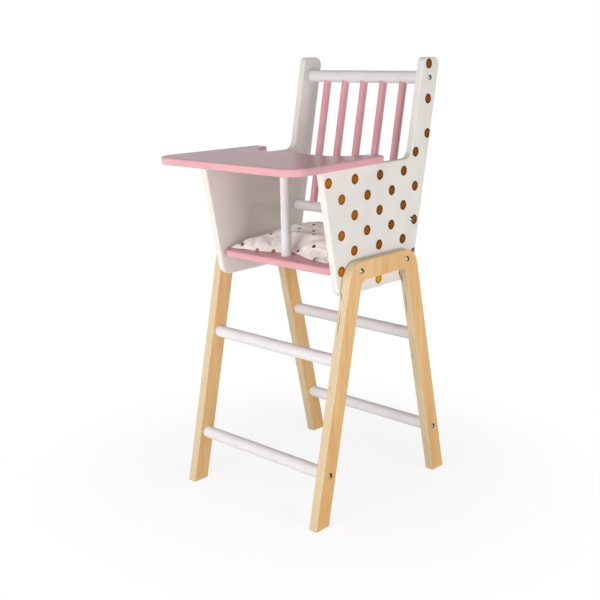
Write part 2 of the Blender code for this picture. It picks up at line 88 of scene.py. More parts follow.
# Floor
floor_radius = 4.0
floor_corners = 96
floor_near = 0.15               # within this distance the floor shows the chair's shadow
floor_far = 0.45                # past this distance it is plain white
floor_glow = 0.80
floor_shade = (0.255, 0.258, 0.268, 1)  # part of the floor's look that the lamps light
floor_paint = (0.86, 0.86, 0.86, 1)     # floor as the chair is lit by it

# Paint. A noise's scale is in features per metre.
paint_relief = 0.000005
paint_clouds = {"scale": 28, "detail": 3}
paint_grain = {"scale": 900, "detail": 2}
paint_swell = {"scale": 130, "detail": 2}
paint_worn_from, paint_worn_to = 0.35, 0.70     # part of the clouds where the paint looks worn
paint_grain_share = 0.2
paint_smoother, paint_rougher = 0.01, 0.02      # how far the roughness goes down and up
white_roughness = 0.40
panel_white = srgb(239, 235, 229)
panel_white_worn = srgb(235, 230, 224)
panel_gloss = 0.025
dowel_white = srgb(236, 234, 234)
dowel_white_worn = srgb(232, 230, 229)
dowel_gloss = 0.05
board_pink = srgb(227, 173, 179)
board_pink_worn = srgb(224, 169, 175)
board_roughness = 0.22
board_gloss = 0.03
spindle_pink = srgb(226, 165, 173)
spindle_pink_worn = srgb(223, 161, 169)
spindle_roughness = 0.24
spindle_gloss = 0.3

# Chair
overall_width = 0.235
panel_face_x = 0.1047           # outer face of the side panels
panel_face_slack = 0.0004

# Side panels' dots
dot_diameter = 0.0125
dot_core_share = 0.45           # of its radius, where a dot starts to darken towards its rim
dot_pitch_back = 0.0239         # from one column of dots to the next
dot_pitch_up = 0.02156          # from one row of dots to the next
dot_first_y = -0.07602
dot_first_z = 0.3347
dot_columns_lean = 0.019        # how far the columns of dots lean back, for their height
dot_raggedness = 0.0003
dot_ragged_noise = {"scale": 700, "detail": 2}
dot_softness = 0.0001           # of the rims of all dots, the cushion's too
dot_margin = 0.003              # least distance of a dot's middle from the panel's edge, along Y
arm_top_z = 0.4353
front_rake = 0.1840             # how far the panel's front leans out, for its height
front_at_floor = -0.0057        # panel's front edge, carried on down to the floor
post_lean = 0.2042              # how far the back post leans back, for its height
post_front_at_floor = -0.0052   # back post's front edge, carried on down to the floor
post_back_at_floor = 0.0300
dot_painted_light_front_y, dot_painted_light_back_y = -0.085, 0.045     # painted light: dot colour from golden at the front to brown at the back, for how light falls on the gold ink
dot_painted_light_high_z, dot_painted_light_low_z = 0.325, 0.285        # painted light: from those to the brighter lowest dots
# Painted light: lit and shaded copies of one gold ink, for the dots' cores and borders at the
# front, at the back and at the bottom.
dot_core_front = srgb(200, 116, 2)
dot_core_back = srgb(144, 76, 0)
dot_core_low = srgb(236, 156, 8)
dot_border_front = srgb(126, 66, 0)
dot_border_back = srgb(72, 34, 0)
dot_border_low = srgb(176, 106, 4)
dot_speckle = srgb(104, 56, 0)
dot_speckle_noise = {"scale": 400, "detail": 3}
dot_speckle_share = 0.25

# Plywood
ply_thickness = 0.0125
ply_inner_x = overall_width / 2 - ply_thickness
ply_count = 9
edge_tilt, face_tilt = 0.45, 0.92       # sideways part of the normal on a cut edge and on a face
figure_noise = {"scale": 46, "detail": 4, "roughness": 0.55}
figure_stretch = (1, 1, 0.10)
figure_from, figure_to = 0.30, 0.72     # part of the noise where the wood gets darker
grain_noise = {"scale": 700, "detail": 5, "roughness": 0.6}
grain_stretch = (1, 1, 0.03)
grain_from, grain_to = 0.45, 0.75
grain_share = 0.30
fleck_noise = {"scale": 260, "detail": 2}
fleck_stretch = (1, 1, 0.09)
fleck_shift = (0, 0.3, 0.1)
fleck_from, fleck_to = 0.68, 0.80
fleck_share = 0.5
veneer_light = srgb(241, 200, 144)
veneer_dark = srgb(229, 178, 117)
veneer_grain = srgb(206, 152, 92)
veneer_fleck = srgb(204, 122, 66)
ply_wander_noise = {"scale": 60, "detail": 2}
ply_wander = 0.0006             # how far a ply strays from its straight line
cross_ply_from, cross_ply_to = 0.36, 0.64       # from a ply with long grain to one with end grain
end_grain_noise = {"scale": 1500, "detail": 3}
end_grain_stretch = (1, 1, 0.5)
long_ply_light = srgb(233, 216, 184)
long_ply_dark = srgb(224, 202, 165)
end_ply_light = srgb(224, 204, 168)
end_ply_dark = srgb(210, 184, 142)
glue_from, glue_to = 0.02, 0.12         # distance from the middle between two plies
glue_brown = srgb(170, 128, 82)
glue_share = 0.14
gap_noise = {"scale": 190, "detail": 1}
gap_stretch = (1, 1, 0.16)
gap_shift = (0.2, 0.1, 0.05)
gap_from, gap_to = 0.74, 0.78
gap_ply_from, gap_ply_to = 0.70, 0.85   # gaps lie only in the plies with end grain
# Painted shade: gaps and voids in the plies are painted dark brown, as the shade inside the holes.
gap_painted_shade = srgb(92, 62, 36)
gap_shade_share = 0.85
gap_depth = 3                   # against the height of the grain
# Small voids in the plies, painted dark as painted shade in the holes.
ply_voids = [
    # x, z, half width, half height
    (0.1094, 0.2515, 0.0005, 0.0135),
    (0.1076, 0.2840, 0.0005, 0.0042),
    (0.1090, 0.1748, 0.0004, 0.0022),
]
void_from, void_to = 1.2, 0.8   # squared distance from its middle, where its rim is 1
void_facing = -0.5              # backward part of the normal, above which they are left out
arris_tilt = 0.78               # sideways part of the normal, in the middle of the rounded arris
arris_spread = 0.16
# Painted highlight: the rounded arris between a face and a cut edge is painted paler.
arris_painted_highlight = srgb(246, 224, 190)
arris_highlight_share = 0.75
ply_roughness = 0.5
ply_gloss = 0.1
ply_varnish = 0.04
ply_varnish_roughness = 0.35
ply_relief = 0.00012
ply_step_share = 0.8            # of the relief, from one ply to the next on a cut edge

# Pins
pin_grain_noise = {"scale": 900, "detail": 4}
pin_grain_stretch = (1, 1, 0.05)
pin_light = srgb(224, 190, 146)
pin_dark = srgb(200, 158, 112)
pin_roughness = 0.6
pin_relief = 0.0001

# Screws
socket_height = 0.0012          # hexagon socket's floor, above the face that the head rests on
socket_slack = 0.0002
wall_tilt, flat_tilt = 0.2, 0.98        # sideways part of the normal on its walls and its floor
# Painted shade: the hexagon socket's walls and floor are painted near black, as the shade inside
# the recess.
socket_painted_shade = srgb(34, 28, 22)
turning_noise = {"scale": 2600, "detail": 3}
turning_relief = 0.00002
steel_light = srgb(168, 168, 163)
steel_dark = srgb(138, 138, 134)
steel_smooth, steel_rough = 0.18, 0.34
painted_reflection_dark = srgb(38, 36, 30)  # painted reflection: the dark surroundings that the head would mirror above and behind, painted into its colour
painted_reflection_share = 0.92
shade_upward = 0.6              # weight of the upward part of the normal, against the backward part
shade_from, shade_to = -0.40, -0.15
rear_rim_from, rear_rim_to = 0.30, 0.55 # backward part of the normal on the rim that the painted reflection leaves bright

# Cushion
cushion_flat_share = 0.90       # height of its crown before it is filled
cushion_voxel = 0.0026
cushion_frames = 20
cushion_swell = 0.0034          # farthest that a point of the cloth moves
cloth_settings = {
    "quality": 6,
    "mass": 0.15,
    "tension_stiffness": 10,
    "compression_stiffness": 10,
    "shear_stiffness": 3,
    "bending_stiffness": 0.1,
    "shrink_min": -0.04,
    "uniform_pressure_force": 3.0,
}
cushion_side_slack = 0.0003
cushion_seam_rise = 0.0045      # seam, above the cushion's underside
seam_tilt = 0.7                 # upward part of the normal, under which the seam's edge is held
merge_distance = 0.00001

# Cushion's folds
cushion_fold_rise = 0.006       # height over which the folds fade towards the seam
cushion_folds = [
    # depth (below zero for a bulge), half width, points along the fold
    (0.0060, 0.0060, [(-0.004, -0.028), (0.004, -0.018), (0.013, -0.010), (0.034, -0.005),
                      (0.062, 0.002)]),
    (0.0010, 0.0065, [(-0.060, -0.018), (-0.040, -0.026), (-0.018, -0.030)]),
    (-0.0032, 0.0120, [(0.022, -0.019), (0.038, -0.016), (0.072, -0.012)]),
    (0.0008, 0.0024, [(0.012, -0.0275), (0.036, -0.0280), (0.066, -0.0290)]),
    (0.0006, 0.0040, [(-0.030, 0.004), (-0.012, -0.008), (-0.003, -0.022)]),
    (0.0010, 0.0035, [(0.060, -0.018), (0.046, -0.008), (0.040, 0.006)]),
    (0.0028, 0.0140, [(-0.078, -0.014), (-0.060, 0.004), (-0.045, 0.012)]),
    (0.0005, 0.0045, [(-0.074, 0.012), (-0.050, 0.004), (-0.034, 0.010)]),
]
ripple_depth = 0.0003           # shallow ripples across the cushion's back half
ripple_pitch = 0.0085
ripple_slant = 0.25
ripple_bend = 2.5               # how much the ripples wave, as an angle
ripple_bend_scale = 30
ripple_start = 0.02             # distance behind the middle where they are full
pucker_depth = 0.00012          # short puckers along the seam
pucker_pitch = 0.0075
pucker_reach = 0.007
pucker_base = 0.6               # their least strength, to which a noise is added
pucker_wander = 3               # how much they stray, as an angle
pucker_wander_scale = 55
pucker_wander_layer = 3.0       # height at which the noise is cut
pucker_least = 0.2              # their strength at the seam itself
pucker_fade = 0.0015            # height over which they become full
rim_droop = 0.0026              # how far the rim sinks towards the seat
rim_droop_reach = 0.004
corner_ear = 0.0045             # how far the sewn corners stand out
corner_reach = 0.011
right_corner_back = 0.009       # front right corner, behind the front left one
left_crown = 0.0042             # how much fuller the front left corner is
left_crown_place = (-0.083, -0.030)
left_crown_reach = 0.014
left_crown_fade = 0.0015        # height above the seam over which it becomes full
front_right_advance = 0.0030    # front edge, to the right of the post
front_right_start = 0.012
front_right_length = 0.02       # distance over which the edge comes forward
front_right_reach = 0.018

# Cushion's print
print_dot_diameter = 0.0050
print_dot_step_across = (0.0132, 0.0136)
print_dot_step_back = (-0.0120, 0.0134)
print_dot_first = (0.0116, -0.0262)
print_steepest = 0.1            # least upward part of the normal that a dot's roundness allows for
print_lone_dots = [(-0.0860, -0.0322), (0.0070, -0.0230)]
print_gaps = [
    # least x, greatest x, least y, greatest y of a place with no dots
    (-0.100, -0.058, -0.036, -0.007),
    (-0.045, -0.030, -0.036, -0.020),
    (-0.070, -0.030, -0.048, -0.036),
    (-0.007, 0.018, -0.034, -0.006),
]
edge_dot_places = (-0.0497, -0.0275, 0.0490, 0.0742)    # along X
edge_dot_rise = 0.0020          # above the cushion's underside
edge_dot_facing = -0.35         # backward part of the normal, above which they are left out
edge_band_rise = 0.0040         # height over which the edge's dots are printed
edge_band_softness = 0.0006
# Painted reflection: one ink, painted dark brown on the top and lighter gold-brown on the front
# edge's band, for how it mirrors light there.
top_ink_painted_dark = srgb(84, 64, 40)
edge_ink_painted_light = srgb(158, 112, 58)

# Cushion's cotton
cotton_clouds = {"scale": 60, "detail": 3}
cotton_light = srgb(253, 250, 246)
cotton_dark = srgb(248, 244, 239)
thread_noise = {"scale": 1400, "detail": 2}
thread_beige = srgb(214, 206, 196)
thread_share = 0.06
thread_waves = 12000            # angle of the weave's waves, per metre
cotton_roughness = 0.85
cotton_gloss = 0.2
cotton_sheen = 0.3
weave_relief = 0.00006
seam_groove = -6                # against the height of the weave
seam_width = 0.0007


def add_node(tree, kind, inputs=None, **settings):
    """New node, with its settings, and its inputs set to values or joined to sockets."""
    node = tree.nodes.new(kind)
    for name, value in settings.items():
        setattr(node, name, value)
    for key, value in (inputs or {}).items():
        if isinstance(value, bpy.types.NodeSocket):
            tree.links.new(value, node.inputs[key])
        else:
            node.inputs[key].default_value = value
    return node


def calculate(tree, operation, first, second=0.0, third=0.0):
    """Result of a Math node."""
    inputs = {0: first, 1: second, 2: third}
    return add_node(tree, "ShaderNodeMath", inputs, operation=operation).outputs[0]


def plus(tree, first, second):
    """Sum of two values."""
    return calculate(tree, "ADD", first, second)


def minus(tree, first, second):
    """First value less the second."""
    return calculate(tree, "SUBTRACT", first, second)


def times(tree, first, second):
    """Product of two values."""
    return calculate(tree, "MULTIPLY", first, second)


def over(tree, first, second):
    """First value divided by the second."""
    return calculate(tree, "DIVIDE", first, second)


def times_plus(tree, value, factor, addend):
    """Value times a factor, plus an addend."""
    return calculate(tree, "MULTIPLY_ADD", value, factor, addend)


def without(tree, share):
    """What is left of 1 when the share is taken away."""
    return calculate(tree, "SUBTRACT", 1, share)


def squared(tree, value):
    """Value times itself."""
    return calculate(tree, "POWER", value, 2)


def unsigned(tree, value):
    """Value without its sign."""
    return calculate(tree, "ABSOLUTE", value)


def greater_of(tree, first, second):
    """Greater of two values."""
    return calculate(tree, "MAXIMUM", first, second)


def is_above(tree, value, limit):
    """1 where the value is above the limit, and else 0."""
    return calculate(tree, "GREATER_THAN", value, limit)


def is_below(tree, value, limit):
    """1 where the value is below the limit, and else 0."""
    return calculate(tree, "LESS_THAN", value, limit)


def spread(tree, value, low, high):
    """Value stretched so that low gives 0 and high gives 1, with soft ends."""
    inputs = {"Value": value, "From Min": low, "From Max": high}
    node = add_node(tree, "ShaderNodeMapRange", inputs, interpolation_type="SMOOTHSTEP")
    return node.outputs["Result"]


def blend_colours(tree, share, first, second):
    """Colour between two colours."""
    inputs = {0: share, 6: first, 7: second}
    return add_node(tree, "ShaderNodeMix", inputs, data_type="RGBA").outputs[2]


def noise(tree, place, scale, detail=2.0, roughness=0.5):
    """Noise between 0 and 1, with its scale per metre."""
    inputs = {"Vector": place, "Scale": scale, "Detail": detail, "Roughness": roughness}
    return add_node(tree, "ShaderNodeTexNoise", inputs).outputs["Fac"]


def stretched(tree, place, scale, shift=(0, 0, 0)):
    """Place scaled along each axis: a pattern on it gets longer where the scale is small."""
    inputs = {"Vector": place, "Location": shift, "Scale": scale}
    return add_node(tree, "ShaderNodeMapping", inputs).outputs[0]


def new_finish(name):
    """New material: its node tree, its shader, and the piece's own place and normal."""
    made = bpy.data.materials.new(name)
    made.use_nodes = True
    tree = made.node_tree
    shader = tree.nodes["Principled BSDF"]
    coordinates = add_node(tree, "ShaderNodeTexCoord").outputs
    return made, tree, shader, coordinates["Object"], coordinates["Normal"]


def parts_of(tree, vector):
    """X, Y and Z of a vector."""
    return add_node(tree, "ShaderNodeSeparateXYZ", {0: vector}).outputs


def set_bump(tree, shader, height, distance):
    """Relief of the surface, which is the distance high where the height is 1."""
    bump = add_node(tree, "ShaderNodeBump", {"Height": height, "Distance": distance})
    tree.links.new(bump.outputs[0], shader.inputs["Normal"])


def set_roughness(tree, shader, value, low, high):
    """Roughness between low and high, after a value between 0 and 1."""
    inputs = {"Value": value, "To Min": low, "To Max": high}
    roughness = add_node(tree, "ShaderNodeMapRange", inputs).outputs["Result"]
    tree.links.new(roughness, shader.inputs["Roughness"])


def paint_finish(name, colour, worn_colour, roughness, gloss):
    """Sprayed paint on sanded wood: even colour, a little grain under it, small unevenness."""
    made, tree, shader, place, _ = new_finish(name)
    clouds = noise(tree, place, **paint_clouds)
    worn = spread(tree, clouds, paint_worn_from, paint_worn_to)
    tone = blend_colours(tree, worn, colour, worn_colour)
    tree.links.new(tone, shader.inputs["Base Color"])
    shader.inputs["Specular IOR Level"].default_value = gloss
    set_roughness(tree, shader, clouds, roughness - paint_smoother, roughness + paint_rougher)
    grain = noise(tree, place, **paint_grain)
    swell = noise(tree, place, **paint_swell)
    set_bump(tree, shader, times_plus(tree, grain, paint_grain_share, swell), paint_relief)
    return made, tree, shader, place, tone


def nearest_middle(tree, value, first, pitch):
    """Middle, along one axis, of the nearest dot in a row of dots."""
    steps = calculate(tree, "ROUND", over(tree, minus(tree, value, first), pitch))
    return times_plus(tree, steps, pitch, first)


def dot_grid(tree, along, up, first_y, first_z, ragged):
    """Ink of one grid of dots whose middles lie well inside the panel, and how near a rim it is."""
    upright = times_plus(tree, minus(tree, up, dot_first_z), -dot_columns_lean, along)
    middle_y = nearest_middle(tree, upright, first_y, 2 * dot_pitch_back)
    middle_z = nearest_middle(tree, up, first_z, 2 * dot_pitch_up)
    away_y = squared(tree, minus(tree, upright, middle_y))
    away_z = squared(tree, minus(tree, up, middle_z))
    distance = calculate(tree, "SQRT", plus(tree, away_y, away_z))
    distance = times_plus(tree, ragged, dot_raggedness, distance)
    radius = (dot_diameter + dot_raggedness) / 2
    beyond = spread(tree, distance, radius - dot_softness, radius + dot_softness)
    rim = spread(tree, distance, radius * dot_core_share, radius)

    middle_y = times_plus(tree, minus(tree, middle_z, dot_first_z), dot_columns_lean, middle_y)
    leaned = times_plus(tree, middle_z, -post_lean, middle_y)
    on_post = is_above(tree, leaned, post_front_at_floor + dot_margin)
    raked = times_plus(tree, middle_z, front_rake, middle_y)
    on_arm = times(tree, is_below(tree, middle_z, arm_top_z),
                   is_above(tree, raked, front_at_floor + dot_margin))
    before_back = is_below(tree, leaned, post_back_at_floor - dot_margin)
    inside = times(tree, before_back, greater_of(tree, on_post, on_arm))
    return times(tree, without(tree, beyond), inside), rim


def dotted_paint():
    """White paint with gold-brown dots printed on the panels' outer faces, their colour painted
    lighter at the front and bottom and browner at the back as painted light.
    """
    made, tree, shader, place, tone = paint_finish(
        "dotted_white_paint", panel_white, panel_white_worn, white_roughness, panel_gloss)
    across, along, up = parts_of(tree, place)
    ragged = noise(tree, place, **dot_ragged_noise)
    straight, straight_rim = dot_grid(tree, along, up, dot_first_y, dot_first_z, ragged)
    between, between_rim = dot_grid(tree, along, up, dot_first_y + dot_pitch_back,
                                    dot_first_z + dot_pitch_up, ragged)
    outer = is_above(tree, unsigned(tree, across), panel_face_x - panel_face_slack)
    dot = times(tree, greater_of(tree, straight, between), outer)

    # Painted light: the dots' colour shifts with their place on the panel, golden at the front,
    # brown at the back and brightest at the bottom.
    backward = spread(tree, along, dot_painted_light_front_y, dot_painted_light_back_y)
    downward = spread(tree, up, dot_painted_light_high_z, dot_painted_light_low_z)
    core = blend_colours(tree, backward, dot_core_front, dot_core_back)
    core = blend_colours(tree, downward, core, dot_core_low)
    border = blend_colours(tree, backward, dot_border_front, dot_border_back)
    border = blend_colours(tree, downward, border, dot_border_low)
    rim = calculate(tree, "MINIMUM", straight_rim, between_rim)
    ink = blend_colours(tree, rim, core, border)
    speckle = times(tree, noise(tree, place, **dot_speckle_noise), dot_speckle_share)
    ink = blend_colours(tree, speckle, ink, dot_speckle)
    tree.links.new(blend_colours(tree, dot, tone, ink), shader.inputs["Base Color"])
    return made


def veneer_colour(tree, place):
    """Long grain of the plywood's faces, and the height of the grain."""
    figure = noise(tree, stretched(tree, place, figure_stretch), **figure_noise)
    grain = noise(tree, stretched(tree, place, grain_stretch), **grain_noise)
    flecks = noise(tree, stretched(tree, place, fleck_stretch, fleck_shift), **fleck_noise)
    darker = spread(tree, figure, figure_from, figure_to)
    veneer = blend_colours(tree, darker, veneer_light, veneer_dark)
    lines = times(tree, spread(tree, grain, grain_from, grain_to), grain_share)
    veneer = blend_colours(tree, lines, veneer, veneer_grain)
    flecks = times(tree, spread(tree, flecks, fleck_from, fleck_to), fleck_share)
    return blend_colours(tree, flecks, veneer, veneer_fleck), grain


def edge_colour(tree, place, facing):
    """Plies of the plywood's cut edges, with the place in a ply and the gaps between plies, whose
    holes are painted dark as painted shade.
    """
    x, _, z = parts_of(tree, place)
    across = minus(tree, unsigned(tree, x), ply_inner_x)
    wander = minus(tree, noise(tree, place, **ply_wander_noise), 0.5)
    across = times_plus(tree, wander, ply_wander, across)
    fold = calculate(tree, "PINGPONG", times(tree, across, ply_count / ply_thickness), 1.0)
    cross_ply = spread(tree, fold, cross_ply_from, cross_ply_to)
    end_grain = noise(tree, stretched(tree, place, end_grain_stretch), **end_grain_noise)
    long_ply = blend_colours(tree, end_grain, long_ply_light, long_ply_dark)
    end_ply = blend_colours(tree, end_grain, end_ply_light, end_ply_dark)
    edge = blend_colours(tree, cross_ply, long_ply, end_ply)
    from_glue = unsigned(tree, minus(tree, fold, 0.5))
    glue = times(tree, without(tree, spread(tree, from_glue, glue_from, glue_to)), glue_share)
    edge = blend_colours(tree, glue, edge, glue_brown)

    gap = noise(tree, stretched(tree, place, gap_stretch, gap_shift), **gap_noise)
    gap = times(tree, spread(tree, gap, gap_from, gap_to),
                spread(tree, fold, gap_ply_from, gap_ply_to))
    forward = is_below(tree, facing[1], void_facing)
    for void_x, void_z, half_width, half_height in ply_voids:
        away_x = over(tree, minus(tree, x, void_x), half_width)
        away_z = over(tree, minus(tree, z, void_z), half_height)
        squares = plus(tree, squared(tree, away_x), squared(tree, away_z))
        slit = times(tree, spread(tree, squares, void_from, void_to), forward)
        gap = greater_of(tree, gap, slit)
    # Gaps and voids painted dark as painted shade; the bump sinks them as well.
    return blend_colours(tree, times(tree, gap, gap_shade_share), edge, gap_painted_shade), fold, gap


def birch_plywood():
    """Varnished birch plywood: long grain on the faces, plies along the cut edges, painted shade in
    the plies' voids and gaps, and a painted highlight along the rounded arris.
    """
    made, tree, shader, place, normal = new_finish("birch_ply")
    facing = parts_of(tree, normal)
    sideways = unsigned(tree, facing[0])
    cut_edge = without(tree, spread(tree, sideways, edge_tilt, face_tilt))
    veneer, grain = veneer_colour(tree, place)
    edge, fold, gap = edge_colour(tree, place, facing)
    colour = blend_colours(tree, cut_edge, veneer, edge)
    # Painted highlight: a paler band along the rounded arris, where the normal turns from face to
    # cut edge.
    from_arris = unsigned(tree, minus(tree, sideways, arris_tilt))
    arris = without(tree, spread(tree, from_arris, arris_spread / 2, arris_spread))
    colour = blend_colours(tree, times(tree, arris, arris_highlight_share), colour, arris_painted_highlight)
    tree.links.new(colour, shader.inputs["Base Color"])
    shader.inputs["Roughness"].default_value = ply_roughness
    shader.inputs["Specular IOR Level"].default_value = ply_gloss
    shader.inputs["Coat Weight"].default_value = ply_varnish
    shader.inputs["Coat Roughness"].default_value = ply_varnish_roughness
    relief = times_plus(tree, cut_edge, times(tree, fold, ply_step_share), grain)
    relief = minus(tree, relief, times(tree, gap, gap_depth))
    set_bump(tree, shader, relief, ply_relief)
    return made


def plain_wood():
    """Bare beech of the hidden pins."""
    made, tree, shader, place, _ = new_finish("plain_wood")
    grain = noise(tree, stretched(tree, place, pin_grain_stretch), **pin_grain_noise)
    tree.links.new(blend_colours(tree, grain, pin_light, pin_dark), shader.inputs["Base Color"])
    shader.inputs["Roughness"].default_value = pin_roughness
    set_bump(tree, shader, grain, pin_relief)
    return made


def screw_steel(name, face_x):
    """Bright plated steel with fine turning marks, a painted reflection that darkens the head's
    upper and rear side, and a hexagon socket painted near black as painted shade.
    """
    made, tree, shader, place, normal = new_finish(name)
    height = minus(tree, unsigned(tree, parts_of(tree, place)[0]), face_x)
    facing = parts_of(tree, normal)
    sideways = unsigned(tree, facing[0])
    marks = noise(tree, place, **turning_noise)
    colour = blend_colours(tree, marks, steel_light, steel_dark)

    # Painted reflection: the head's upper and rear side is painted near black, standing for dark
    # surroundings mirrored by bright steel; the rear rim stays bright.
    up_and_back = times_plus(tree, facing[2], shade_upward, facing[1])
    painted_dark_side = spread(tree, up_and_back, shade_from, shade_to)
    rear_rim = spread(tree, facing[1], rear_rim_from, rear_rim_to)
    painted_dark_side = times(tree, painted_dark_side, without(tree, rear_rim))
    colour = blend_colours(tree, times(tree, painted_dark_side, painted_reflection_share), colour, painted_reflection_dark)

    raised = is_above(tree, height, socket_height - socket_slack)
    wall = times(tree, raised, is_below(tree, sideways, wall_tilt))
    low = is_below(tree, height, socket_height + socket_slack)
    bottom = times(tree, low, is_above(tree, sideways, flat_tilt))
    socket = greater_of(tree, wall, bottom)
    # Socket's walls and floor, painted near black and not metallic, as painted shade in the recess.
    colour = blend_colours(tree, socket, colour, socket_painted_shade)
    tree.links.new(colour, shader.inputs["Base Color"])
    tree.links.new(without(tree, socket), shader.inputs["Metallic"])
    set_roughness(tree, shader, marks, steel_smooth, steel_rough)
    set_bump(tree, shader, marks, turning_relief)
    return made


def nearest_step(tree, value):
    """Distance from the nearest whole number, with its sign."""
    return minus(tree, value, calculate(tree, "ROUND", value))


def print_dot(tree, away_first, away_second, away_third):
    """Ink of a dot of the print, from the distances to its middle along three directions."""
    squares = plus(tree, squared(tree, away_first), squared(tree, away_second))
    squares = plus(tree, squares, squared(tree, away_third))
    distance = calculate(tree, "SQRT", squares)
    radius = print_dot_diameter / 2
    return without(tree, spread(tree, distance, radius - dot_softness, radius + dot_softness))


def cloth_dot(tree, away_x, away_y, facing):
    """Ink of a dot that stays round where the cloth slopes."""
    fall = times_plus(tree, away_x, facing[0], times(tree, away_y, facing[1]))
    fall = over(tree, fall, greater_of(tree, facing[2], print_steepest))
    return print_dot(tree, away_x, away_y, fall)


def top_dots(tree, axes, facing):
    """Ink of the slanting rows of dots, with bare places."""
    across_x, across_y = print_dot_step_across
    back_x, back_y = print_dot_step_back
    area = across_x * back_y - across_y * back_x
    x = minus(tree, axes[0], print_dot_first[0])
    y = minus(tree, axes[1], print_dot_first[1])
    first = times_plus(tree, x, back_y / area, times(tree, y, -back_x / area))
    second = times_plus(tree, y, across_x / area, times(tree, x, -across_y / area))
    first, second = nearest_step(tree, first), nearest_step(tree, second)
    away_x = times_plus(tree, first, across_x, times(tree, second, back_x))
    away_y = times_plus(tree, first, across_y, times(tree, second, back_y))
    top = cloth_dot(tree, away_x, away_y, facing)
    for least_x, greatest_x, least_y, greatest_y in print_gaps:
        from_x = unsigned(tree, minus(tree, axes[0], (least_x + greatest_x) / 2))
        from_y = unsigned(tree, minus(tree, axes[1], (least_y + greatest_y) / 2))
        beside = is_above(tree, from_x, (greatest_x - least_x) / 2)
        before_or_behind = is_above(tree, from_y, (greatest_y - least_y) / 2)
        top = times(tree, top, greater_of(tree, beside, before_or_behind))
    return top


def edge_dots(tree, axes, facing, seam_z):
    """Ink of the dots along the front edge."""
    away_z = minus(tree, axes[2], seam_z - cushion_seam_rise + edge_dot_rise)
    edge = 0.0
    for place_x in edge_dot_places:
        away_x = minus(tree, axes[0], place_x)
        edge = greater_of(tree, edge, print_dot(tree, away_x, away_z, 0.0))
    return times(tree, edge, is_below(tree, facing[1], edge_dot_facing))


def printed_dots(tree, axes, facing, seam_z):
    """Ink of the small dots on the cotton's top and along its edge."""
    top = top_dots(tree, axes, facing)
    edge = edge_dots(tree, axes, facing, seam_z)
    for place_x, place_y in print_lone_dots:
        away_x = minus(tree, axes[0], place_x)
        away_y = minus(tree, axes[1], place_y)
        lone = cloth_dot(tree, away_x, away_y, facing)
        top = greater_of(tree, top, lone)
        edge = greater_of(tree, edge, lone)
    return top, edge


def cotton(seam_z):
    """Off-white printed cotton with a plain weave, small dots whose ink is painted darker on the
    top and lighter along the front edge as painted reflection, and a pressed seam.
    """
    made, tree, shader, place, normal = new_finish("dotted_cotton")
    axes, facing = parts_of(tree, place), parts_of(tree, normal)
    clouds = noise(tree, place, **cotton_clouds)
    tone = blend_colours(tree, clouds, cotton_light, cotton_dark)
    threads = times(tree, noise(tree, place, **thread_noise), thread_share)
    tone = blend_colours(tree, threads, tone, thread_beige)
    top, edge = printed_dots(tree, axes, facing, seam_z)
    band_top = seam_z - cushion_seam_rise + edge_band_rise
    on_edge = spread(tree, axes[2], band_top, band_top - edge_band_softness)
    dots = blend_colours(tree, on_edge, top, edge)
    # Painted reflection: the ink is darker on the top and lighter on the front edge's band.
    ink = blend_colours(tree, on_edge, top_ink_painted_dark, edge_ink_painted_light)
    tree.links.new(blend_colours(tree, dots, tone, ink), shader.inputs["Base Color"])
    shader.inputs["Roughness"].default_value = cotton_roughness
    shader.inputs["Specular IOR Level"].default_value = cotton_gloss
    shader.inputs["Sheen Weight"].default_value = cotton_sheen

    warp = calculate(tree, "SINE", times(tree, axes[0], thread_waves))
    weft = calculate(tree, "SINE", times(tree, axes[1], thread_waves))
    sideways = without(tree, unsigned(tree, facing[2]))
    from_seam = unsigned(tree, minus(tree, axes[2], seam_z))
    on_seam = without(tree, spread(tree, from_seam, 0.0, seam_width))
    seam = times(tree, sideways, on_seam)
    relief = times_plus(tree, seam, seam_groove, times(tree, warp, weft))
    set_bump(tree, shader, relief, weave_relief)
    return made


def apply_modifier(piece, modifier):
    """Apply one modifier of the piece."""
    bpy.ops.object.select_all(action="DESELECT")
    bpy.context.view_layer.objects.active = piece
    piece.select_set(True)
    bpy.ops.object.modifier_apply(modifier=modifier.name)


def hump(value, middle, width):
    """Smooth hump of height 1 at its middle."""
    return math.exp(-((value - middle) / width) ** 2)


def inflate(cushion, pinned):
    """Fill the cushion with air as cloth, held at its seam, and cap how far a point moves."""
    start = [vertex.co.copy() for vertex in cushion.data.vertices]
    seam = cushion.vertex_groups.new(name="seam")
    seam.add(pinned, 1.0, "REPLACE")
    cloth = cushion.modifiers.new("stuffing", "CLOTH")
    settings = cloth.settings
    for name, value in cloth_settings.items():
        setattr(settings, name, value)
    settings.vertex_group_mass = seam.name
    settings.use_pressure = True
    settings.effector_weights.gravity = 0
    cloth.point_cache.frame_start = 1
    cloth.point_cache.frame_end = cushion_frames
    for number in range(1, cushion_frames + 1):
        bpy.context.scene.frame_set(number)
    filled = cushion.evaluated_get(bpy.context.evaluated_depsgraph_get())
    ends = [vertex.co.copy() for vertex in filled.data.vertices]
    cushion.modifiers.remove(cloth)
    cushion.vertex_groups.clear()
    bpy.context.scene.frame_set(1)
    for vertex, first, last in zip(cushion.data.vertices, start, ends):
        move = last - first
        if move.length > cushion_swell:
            move *= cushion_swell / move.length
        vertex.co = first + move


def distance_to_path(place, points):
    """Least distance, seen from above, to a line through the points."""
    least = math.inf
    for first, second in zip(points, points[1:]):
        near, share = intersect_point_line(place, first, second)
        near = first.lerp(second, max(0.0, min(1.0, share)))
        least = min(least, (place - near).length)
    return least


